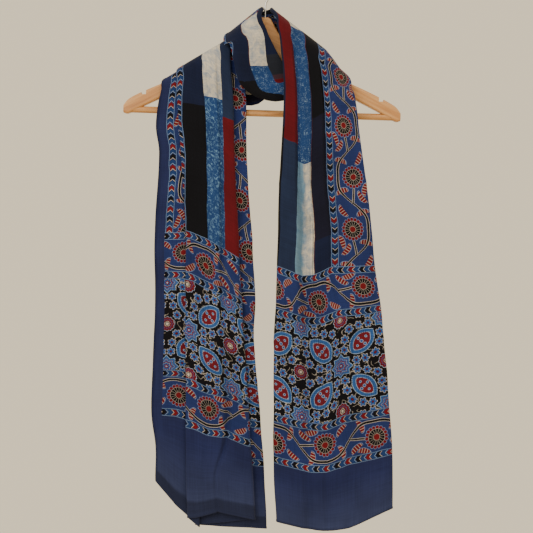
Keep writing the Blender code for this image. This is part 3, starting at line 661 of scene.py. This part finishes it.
# Patches of the middle: nine columns of one block's width, each dyed in long lengths of red, iron
# black, indigo and cream. The alpha of a stop says how the paste was laid: 1 plain, 0.6 speckled,
# 0.3 brushed on in swirls, 0 dabbed.
COLUMN_WIDTH = 34.0
LAST_CREAM = 1522.0                  # where the last cream length of the second column starts
RED, BLACK, NAVY, GREY_BLUE, DARK = "#570F18", "#0A0B12", "#121A36", "#1E2945", "#131427"
SPECKLED, CREAM, PALE = "#1D3B6E", "#C6BFB2", "#557F9E"
COLUMNS = (
    ((0, BLACK, 1), (620, NAVY, 1), (860, BLACK, 1), (1020, NAVY, 1), (1290, BLACK, 1),
     (1457, DARK, 1), (1647, NAVY, 1)),
    ((0, SPECKLED, 0.3), (640, CREAM, 0), (888, SPECKLED, 0.6), (1046, CREAM, 0),
     (1310, SPECKLED, 0.6), (LAST_CREAM, CREAM, 0)),
    ((0, RED, 1), (630, GREY_BLUE, 1), (850, RED, 1), (1018, "#3A2732", 1), (1029, "#20242F", 1),
     (1060, NAVY, 1), (1285, RED, 1), (1499, GREY_BLUE, 1)),
    ((0, BLACK, 1), (540, RED, 1), (760, DARK, 1), (1010, BLACK, 1), (1240, NAVY, 1),
     (1480, BLACK, 1)),
    ((0, CREAM, 0), (610, SPECKLED, 0.3), (830, CREAM, 0), (1080, SPECKLED, 0.6),
     (1330, CREAM, 0), (1560, SPECKLED, 0.6)),
    ((0, NAVY, 1), (600, BLACK, 1), (840, RED, 1), (1040, GREY_BLUE, 1), (1300, BLACK, 1),
     (1510, RED, 1)),
    ((0, RED, 1), (660, DARK, 1), (870, NAVY, 1), (1070, RED, 1), (1280, GREY_BLUE, 1),
     (1490, NAVY, 1)),
    ((0, SPECKLED, 0.3), (640, CREAM, 0), (860, SPECKLED, 0.6), (1060, CREAM, 0),
     (1290, SPECKLED, 0.6), (1500, CREAM, 0)),
    ((0, BLACK, 1), (650, GREY_BLUE, 1), (880, BLACK, 1), (1050, RED, 1), (1310, NAVY, 1),
     (1530, BLACK, 1)),
)
# The patches of one end were printed a little askew.
ASKEW_TO, ASKEW = 800.0, -0.28
in_column = add(tree, "Math.SUBTRACT", s, FIELD_EDGE + COLUMN_WIDTH / 2)
in_column = add(tree, "Math.WRAP", in_column, COLUMN_WIDTH / 2, -COLUMN_WIDTH / 2)
askew = add(tree, "Math.MULTIPLY", add(tree, "Math.LESS_THAN", t, ASKEW_TO), ASKEW)
along_share = add(tree, "Math.MULTIPLY_ADD", in_column, askew, t)
along_share = add(tree, "Math.DIVIDE", along_share, STOLE_LENGTH)
colour = laid = None
for number, lengths in enumerate(COLUMNS):
    dyed = add(tree, "ValToRGB", along_share, stops=[
        (start / STOLE_LENGTH, tint, laying) for start, tint, laying in lengths])
    dyed_laid = dyed.node.outputs["Alpha"]
    if number:
        beyond = add(tree, "Math.GREATER_THAN", s, FIELD_EDGE + number * COLUMN_WIDTH)
        dyed = add(tree, "Mix", beyond, colour, dyed, data_type="RGBA")
        dyed_laid = add(tree, "Mix", beyond, laid, dyed_laid)
    colour, laid = dyed, dyed_laid
# Blue has run from one side over half of the last cream length.
run_in = add(tree, "TexNoise", flat_place, inputs={"Scale": 45.0, "Detail": 4.0})
run_edge = add(tree, "Math.MULTIPLY_ADD", run_in, 26.0, s)
pale_half = add(tree, "MapRange", run_edge, 157.0, 166.0, 0.0, 0.9)
pale_half = add(tree, "Math.MULTIPLY", pale_half,
                add(tree, "Math.LESS_THAN", s, FIELD_EDGE + 2 * COLUMN_WIDTH))
pale_half = add(tree, "Math.MULTIPLY", pale_half, add(tree, "Math.GREATER_THAN", t, LAST_CREAM))
pale_half = add(tree, "Math.MULTIPLY", pale_half, add(tree, "Math.COMPARE", laid, 0.0, 0.1))
colour = add(tree, "Mix", pale_half, colour, linear(PALE), data_type="RGBA")

# Speckled, brushed and dabbed paste: white specks of resist, swirling strokes and soft blots.
speck = add(tree, "TexVoronoi", flat_place, inputs={"Scale": 620.0, "Randomness": 1.0})
speck_size = add(tree, "TexNoise", flat_place, inputs={"Scale": 120.0, "Detail": 2.0})
speck = add(tree, "Math.LESS_THAN", speck, add(tree, "Math.MULTIPLY_ADD", speck_size, 1.0, -0.27))
stroke = add(tree, "TexNoise", flat_place, inputs={
    "Scale": 130.0, "Detail": 3.0, "Roughness": 0.6, "Distortion": 2.2})
stroke = add(tree, "MapRange", stroke, 0.50, 0.72)
blot = add(tree, "TexNoise", flat_place, inputs={
    "Scale": 105.0, "Detail": 4.0, "Roughness": 0.65, "Distortion": 0.8})
blot = add(tree, "MapRange", blot, 0.40, 0.66)
for paste, laying, strength, tint in (
        (speck, 0.6, 0.62, "#8FABC4"), (stroke, 0.3, 1.0, "#6C93B8"), (blot, 0.0, 0.62, "#54799F")):
    drawn = add(tree, "Math.MULTIPLY", paste, add(tree, "Math.COMPARE", laid, laying, 0.1))
    drawn = add(tree, "Math.MULTIPLY", drawn, strength)
    colour = add(tree, "Mix", drawn, colour, linear(tint), data_type="RGBA")
# A thin red-brown line of painted shade runs along the crease at the edge of the second column, in
# one half only.
crease_painted_shade = add(tree, "Math.MULTIPLY", right_half,
           add(tree, "Math.COMPARE", s, FIELD_EDGE + COLUMN_WIDTH, 0.8))
colour = add(tree, "Mix", add(tree, "Math.MULTIPLY", crease_painted_shade, 0.8), colour, linear("#4F2226"),
             data_type="RGBA")
field_ground = colour

# Vine bands: a wavy stem in resist, with a rosette in each bend and striped leaves beside it, at
# 80 mm from bend to bend. They run along both long sides and across both end panels.
BEND_STEP = 80.0
VINE_SWING = 21.5                    # from the middle of the band to the top of a bend
SIDE_VINE, CROSS_VINE = 56.5, 114.5  # middle of a side band and of a cross band
vine_side = add(tree, "Math.GREATER_THAN", s, STOLE_WIDTH / 2)
vine_start = add(tree, "Mix", right_half, add(tree, "Mix", vine_side, 17.0, 68.0), 42.0)
upper_band = add(tree, "Math.GREATER_THAN", panel_middle, 0.0)
panel_start = add(tree, "Mix", right_half, add(tree, "Mix", upper_band, 40.0, 46.0), 53.0)
vine_start = add(tree, "Mix", in_panel, vine_start, panel_start)
along = add(tree, "Mix", in_panel, t, s)
vine_along = add(tree, "Math.SUBTRACT", along, vine_start)
bend = add(tree, "Math.FLOOR", add(tree, "Math.MULTIPLY_ADD", vine_along, 1 / BEND_STEP, 0.5))
vine_x = add(tree, "Math.MULTIPLY_ADD", bend, -BEND_STEP, vine_along)
flip = add(tree, "Math.MULTIPLY_ADD", add(tree, "Math.FLOORED_MODULO", bend, 2.0), 2.0, -1.0)
vine_y = add(tree, "Mix", in_panel, add(tree, "Math.SUBTRACT", from_side, SIDE_VINE),
             add(tree, "Math.SUBTRACT", from_middle, CROSS_VINE))
vine_y = add(tree, "Math.MULTIPLY", vine_y, flip)
vine_place = add(tree, "CombineXYZ", vine_x, vine_y)
colour = linear("#202D60")

for leaf_x, leaf_y, turned in ((23.0, 16.0, 75.0), (31.0, -17.0, -35.0), (20.0, -24.0, 20.0),
                               (-29.0, -17.0, 215.0), (-24.0, 15.0, 105.0)):
    leaf = add(tree, "Mapping", vine_place, (leaf_x, leaf_y, 0.0),
               (0.0, 0.0, math.radians(turned)), (11.5, 7.0, 1.0), vector_type="TEXTURE")
    leaf_x_share = add(tree, "SeparateXYZ", leaf)
    leaf_edge = add(tree, "VectorMath.LENGTH", leaf)
    half = add(tree, "Math.GREATER_THAN", leaf_x_share.node.outputs["Y"], -0.25)
    vein = add(tree, "Math.PINGPONG", add(tree, "Math.MULTIPLY", leaf_x_share, 2.7), 0.5)
    vein = add(tree, "Math.LESS_THAN", vein, 0.11)
    fill = add(tree, "Mix", vein, linear("#66121A"), linear("#A0988F"), data_type="RGBA")
    for size, tint in ((1.0, linear("#5A72A0")), (0.89, fill)):
        drawn = add(tree, "Math.MULTIPLY", add(tree, "Math.LESS_THAN", leaf_edge, size), half)
        colour = add(tree, "Mix", drawn, colour, tint, data_type="RGBA")

wave = add(tree, "Math.COSINE", add(tree, "Math.MULTIPLY", vine_x, math.pi / BEND_STEP))
fuller = add(tree, "Math.MULTIPLY_ADD", add(tree, "Math.MULTIPLY", wave, wave), -0.5, 1.5)
wave = add(tree, "Math.MULTIPLY", wave, fuller)
stem = add(tree, "Math.ABSOLUTE", add(tree, "Math.MULTIPLY_ADD", wave, -VINE_SWING, vine_y))
for half_width, tint in ((2.5, "#A39D99"), (1.7, "#0D0D12")):
    drawn = add(tree, "Math.LESS_THAN", stem, half_width)
    colour = add(tree, "Mix", drawn, colour, linear(tint), data_type="RGBA")

# A short stem joins each rosette to the vine.
side_stem = add(tree, "Math.MULTIPLY_ADD", vine_x, -0.16, add(tree, "Math.ADD", vine_y, 6.9))
side_stem = add(tree, "Math.ABSOLUTE", side_stem)
stem_length = add(tree, "Math.COMPARE", vine_x, 27.0, 12.5)
for half_width, tint in ((1.9, "#A39D99"), (1.1, "#0D0D12")):
    drawn = add(tree, "Math.MULTIPLY", add(tree, "Math.LESS_THAN", side_stem, half_width),
                stem_length)
    colour = add(tree, "Mix", drawn, colour, linear(tint), data_type="RGBA")

rosette = add(tree, "VectorMath.ADD", vine_place, (0.0, 4.5, 0.0))
rosette_radius, rosette_angle = polar(rosette)
scallop = add(tree, "Math.COSINE", add(tree, "Math.MULTIPLY", rosette_angle, 9.0))
scallop = add(tree, "Math.POWER", add(tree, "Math.ABSOLUTE", scallop), 0.5)
lobes = add(tree, "Math.MULTIPLY_ADD", scallop, -3.2, rosette_radius)
spoke = add(tree, "Math.SINE", add(tree, "Math.MULTIPLY", rosette_angle, 8.0))
spoke = add(tree, "Math.MULTIPLY", add(tree, "Math.ABSOLUTE", spoke), rosette_radius)
spoke = add(tree, "Math.MULTIPLY", add(tree, "Math.LESS_THAN", spoke, 1.5),
            add(tree, "Math.COMPARE", rosette_radius, 8.6, 3.6))
petals = add(tree, "ValToRGB", add(tree, "Math.DIVIDE", rosette_radius, RING_SPAN), stops=(
    (0.0, "#661219"), (0.235, "#A39C95"), (0.255, "#0A0B12"), (0.625, "#A39D99"),
    (0.648, "#621016")))
between = add(tree, "Math.MULTIPLY", add(tree, "Math.LESS_THAN", scallop, 0.42),
              add(tree, "Math.GREATER_THAN", rosette_radius, 13.2))
petals = add(tree, "Mix", between, petals, linear("#5E78A6"), data_type="RGBA")
petals = add(tree, "Mix", spoke, petals, linear("#A39C95"), data_type="RGBA")
for size, tint in ((15.2, linear("#6F8AB4")), (14.6, petals)):
    drawn = add(tree, "Math.LESS_THAN", lobes, size)
    colour = add(tree, "Mix", drawn, colour, tint, data_type="RGBA")
vine_ground = colour

# Arrow strips: rows of small arrowheads in red, blue and black, between pairs of pale lines.
ARROW_REPEAT, ARROW_SLANT = 32.5, 0.85
strips = []
for place, near, far in ((from_side, 22.25, 90.75), (from_middle, 82.25, 146.75)):
    strips.append(add(tree, "Math.MINIMUM",
                      add(tree, "Math.ABSOLUTE", add(tree, "Math.SUBTRACT", place, near)),
                      add(tree, "Math.ABSOLUTE", add(tree, "Math.SUBTRACT", place, far))))
strip = add(tree, "Mix", in_panel, *strips)
arrow = add(tree, "Math.MULTIPLY_ADD", strip, ARROW_SLANT, along)
arrow = add(tree, "Math.FRACT", add(tree, "Math.DIVIDE", arrow, ARROW_REPEAT))
arrow = add(tree, "ValToRGB", arrow, stops=(
    (0.0, "#B5ADA6"), (0.026, "#681219"), (0.20, "#1A2A58"),
    (0.25, "#8297B8"), (0.274, "#1B3568"), (0.44, "#1A2A58"),
    (0.5, "#B5ADA6"), (0.526, "#0C0B10"), (0.70, "#1A2A58"),
    (0.75, "#8297B8"), (0.774, "#1B3568"), (0.94, "#1A2A58")))
colour = add(tree, "Mix", add(tree, "Math.LESS_THAN", strip, 4.3), linear("#152650"), arrow,
             data_type="RGBA")
colour = add(tree, "Mix", add(tree, "Math.COMPARE", strip, 5.4, 0.35), colour,
             linear("#6C86AE"), data_type="RGBA")
strip_ground = colour

# The grounds are laid together: field, panel, vine bands, strips, then the plain ends and sides.
in_side_band = add(tree, "Math.LESS_THAN", from_side, FIELD_EDGE)
in_cross_band = add(tree, "Math.GREATER_THAN", from_middle, CROSS_BAND_EDGE)
ground = add(tree, "Mix", in_panel, field_ground, panel_ground, data_type="RGBA")
in_band = add(tree, "Mix", in_panel, in_side_band, in_cross_band)
colour = add(tree, "Mix", in_band, ground, vine_ground, data_type="RGBA")
in_strip = add(tree, "Math.LESS_THAN", strip, 6.2)
colour = add(tree, "Mix", in_strip, colour, strip_ground, data_type="RGBA")
printed = add(tree, "Math.MULTIPLY", add(tree, "Math.GREATER_THAN", from_end, 0.0),
              add(tree, "Math.GREATER_THAN", from_side, PLAIN_SIDE))
plain_shade = add(tree, "TexNoise", flat_place, inputs={"Scale": 9.0, "Detail": 3.0})
plain = add(tree, "Mix", plain_shade, linear("#1A2044"), linear("#252D5A"), data_type="RGBA")
# Where the end hangs as one thin layer, light comes through it and greys the blue.
sheer = add(tree, "MapRange", from_end, -20.0, -95.0, 0.0, 0.35)
plain = add(tree, "Mix", sheer, plain, linear("#454F70"), data_type="RGBA")
colour = add(tree, "Mix", printed, plain, colour, data_type="RGBA")

# Dye takes unevenly: soft clouds, and yarns that took more or less of it. The rolled hems get
# painted shade, darker towards the edge.
cloud = add(tree, "TexNoise", flat_place, inputs={"Scale": 16.0, "Detail": 5.0})
cloud = add(tree, "MapRange", cloud, 0.3, 0.7, 0.80, 1.14)
stretched = add(tree, "VectorMath.MULTIPLY", flat_place, (900.0, 14.0, 1.0))
yarns = add(tree, "TexNoise", stretched, inputs={"Scale": 1.0, "Detail": 2.0})
crossed = add(tree, "VectorMath.MULTIPLY", flat_place, (14.0, 800.0, 1.0))
picks = add(tree, "TexNoise", crossed, inputs={"Scale": 1.0, "Detail": 2.0})
slub = add(tree, "MapRange", add(tree, "Math.ADD", yarns, picks), 0.7, 1.3, 0.84, 1.16)
shade = add(tree, "Math.MULTIPLY", cloud, slub)
colour = add(tree, "VectorMath.SCALE", colour, shade)
hem_painted_shade = add(tree, "MapRange", add(tree, "Math.MINIMUM", from_side,
                                     add(tree, "Math.ADD", from_end, RIGHT_PLAIN)),
               0.5, 5.0, 0.55, 1.0)
colour = add(tree, "VectorMath.SCALE", colour, hem_painted_shade)

# A plain weave like this is about 0.5 mm fine. It is drawn at 1.1 mm, so that it shows.
WEAVE_STEP = 1.1
weave_turn = 2 * math.pi / WEAVE_STEP
weave_x = add(tree, "Math.SINE", add(tree, "Math.MULTIPLY", s, weave_turn))
weave_y = add(tree, "Math.SINE", add(tree, "Math.MULTIPLY", t, weave_turn))
weave = add(tree, "Math.MULTIPLY", weave_x, weave_y)
weave = add(tree, "Math.MULTIPLY_ADD", weave, 0.25, add(tree, "Math.ADD", yarns, picks))
weave_bump = add(tree, "Bump", inputs={"Strength": 0.35, "Distance": 0.0004, "Height": weave})
rumple = add(tree, "TexNoise", flat_place, inputs={"Scale": 34.0, "Detail": 4.0})
rumple_bump = add(tree, "Bump", inputs={
    "Strength": 0.55, "Distance": 0.0022, "Height": rumple, "Normal": weave_bump})
tree.links.new(add(tree, "BsdfPrincipled", inputs={
    "Base Color": colour, "Roughness": 0.88, "IOR": 1.47, "Specular IOR Level": 0.15,
    "Sheen Weight": 0.09, "Sheen Roughness": 0.5, "Sheen Tint": linear("#B9BED0"),
    "Normal": rumple_bump}), surface)
cloth_mesh.materials.append(cotton)


# ------------------------------------------------------------------ hanger arms, bar and hook
# Two arms of a pale beech board, sawn to shape, rounded over and clear lacquered. The grain runs
# down each arm. A turned bar of the same wood goes through both, and the hook is bright wire.
beech, tree, surface = new_material("lacquered beech")
board_place = add(tree, "TexCoord").node.outputs["Object"]
board_x = add(tree, "SeparateXYZ", board_place)
mirrored = add(tree, "Math.ABSOLUTE", board_x)
board_z = board_x.node.outputs["Z"]
slope = math.radians(27)
grain_along = add(tree, "Math.MULTIPLY_ADD", mirrored, math.cos(slope),
                  add(tree, "Math.MULTIPLY", board_z, -math.sin(slope)))
grain_across = add(tree, "Math.MULTIPLY_ADD", mirrored, math.sin(slope),
                   add(tree, "Math.MULTIPLY", board_z, math.cos(slope)))
grain_place = add(tree, "CombineXYZ", add(tree, "Math.MULTIPLY", grain_along, 0.06), grain_across,
                  board_x.node.outputs["Y"])
rings = add(tree, "TexNoise", grain_place, inputs={"Scale": 150.0, "Detail": 4.0,
                                                   "Roughness": 0.55})
fleck_place = add(tree, "CombineXYZ", add(tree, "Math.MULTIPLY", grain_along, 0.18), grain_across,
                  board_x.node.outputs["Y"])
flecks = add(tree, "TexVoronoi", fleck_place, inputs={"Scale": 900.0, "Randomness": 1.0})
flecks = add(tree, "Math.LESS_THAN", flecks, 0.16)
wood = add(tree, "ValToRGB", rings, smooth=True, stops=(
    (0.30, "#A66A34"), (0.45, "#C0864A"), (0.55, "#CB9357"), (0.70, "#D8A56B")))
wood = add(tree, "Mix", add(tree, "Math.MULTIPLY", flecks, 0.45), wood, linear("#9E6B41"),
           data_type="RGBA")
grain_bump = add(tree, "Bump", inputs={"Strength": 0.2, "Distance": 0.0004, "Height": rings})
tree.links.new(add(tree, "BsdfPrincipled", inputs={
    "Base Color": wood, "Roughness": 0.42, "IOR": 1.5, "Coat Weight": 0.35,
    "Coat Roughness": 0.22, "Coat IOR": 1.5, "Normal": grain_bump}), surface)
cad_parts["hanger_arms"].material_slots[0].material = beech

# The bar is turned from a straight stick, so its grain runs from end to end, with small knots.
dowel, tree, surface = new_material("turned beech bar")
stick_place = add(tree, "TexCoord").node.outputs["Object"]
stick_grain = add(tree, "VectorMath.MULTIPLY", stick_place, (0.05, 1.0, 1.0))
streaks = add(tree, "TexNoise", stick_grain, inputs={"Scale": 420.0, "Detail": 4.0})
wood = add(tree, "ValToRGB", streaks, smooth=True, stops=(
    (0.30, "#A86E36"), (0.48, "#C58C50"), (0.62, "#D29F66"), (0.75, "#DDB07C")))
knot_place = add(tree, "VectorMath.MULTIPLY", stick_place, (0.6, 1.0, 1.0))
knots = add(tree, "TexVoronoi", knot_place, inputs={"Scale": 26.0})
wood = add(tree, "Mix", add(tree, "MapRange", knots, 0.20, 0.10, 0.0, 0.7), wood,
           linear("#7A4A26"), data_type="RGBA")
streak_bump = add(tree, "Bump", inputs={"Strength": 0.2, "Distance": 0.0003, "Height": streaks})
tree.links.new(add(tree, "BsdfPrincipled", inputs={
    "Base Color": wood, "Roughness": 0.45, "IOR": 1.5, "Coat Weight": 0.25,
    "Coat Roughness": 0.25, "Normal": streak_bump}), surface)
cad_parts["trouser_bar"].material_slots[0].material = dowel

# The hook is bright drawn wire, with the faint lengthwise marks of the die.
wire, tree, surface = new_material("bright drawn steel wire")
wire_place = add(tree, "TexCoord").node.outputs["Object"]
die_marks = add(tree, "TexNoise", wire_place, inputs={"Scale": 700.0, "Detail": 3.0})
rubbed = add(tree, "MapRange", die_marks, 0.3, 0.7, 0.22, 0.36)
tint = add(tree, "Mix", die_marks, linear("#A9A7A2"), linear("#C9C7C3"), data_type="RGBA")
wire_bump = add(tree, "Bump", inputs={"Strength": 0.08, "Distance": 0.0001, "Height": die_marks})
tree.links.new(add(tree, "BsdfPrincipled", inputs={
    "Base Color": tint, "Metallic": 1.0, "Roughness": rubbed, "IOR": 2.5,
    "Normal": wire_bump}), surface)
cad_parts["hook"].material_slots[0].material = wire
